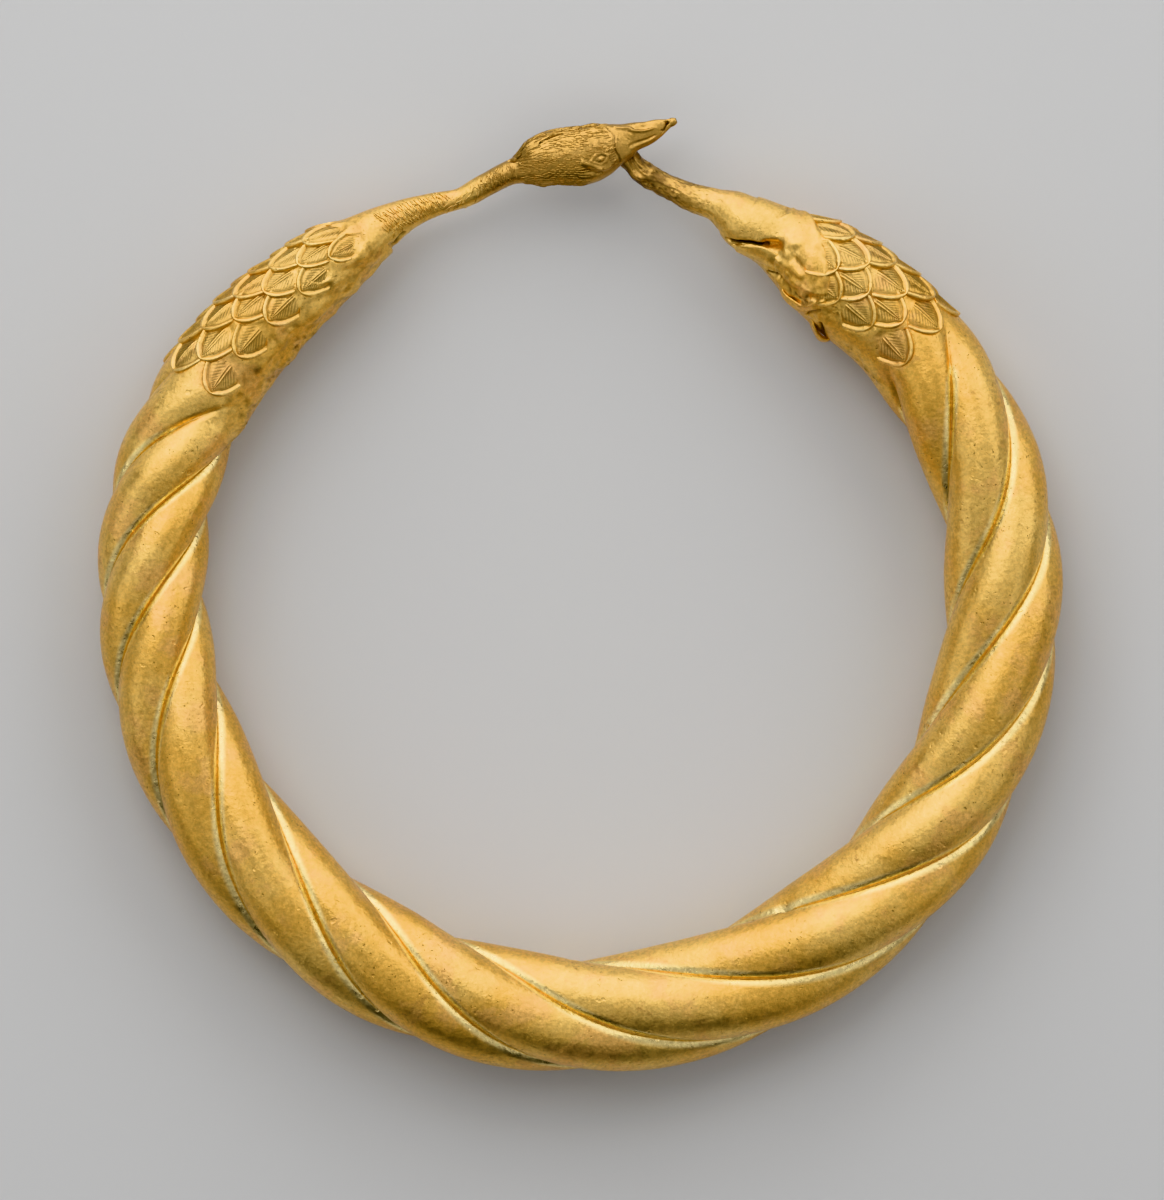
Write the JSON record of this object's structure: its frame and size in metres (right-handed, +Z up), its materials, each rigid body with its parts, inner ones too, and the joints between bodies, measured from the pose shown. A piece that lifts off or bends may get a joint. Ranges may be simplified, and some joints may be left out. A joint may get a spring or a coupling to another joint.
{
  "type": "gold armlet",
  "caption": "Twisted, fluted hoop of hollow sheet gold with feathered shoulders, a bird's head at one end and a broken neck at the other.",
  "frame": {"origin": "middle of the armlet's outline seen from above, on the plane it lies on", "axes": "+Z up, square to the hoop; +Y from the middle of the hoop to the crossing of the two necks; +X to the side of the broken neck"},
  "size_m": [0.1064, 0.1048, 0.0131],
  "materials": {
    "gold": "worn polished sheet gold, satin, with fine scratches and pits and brown patina in the grooves"
  },
  "bodies": {
    "root": {"armlet": "gold"}
  },
  "joints": []
}
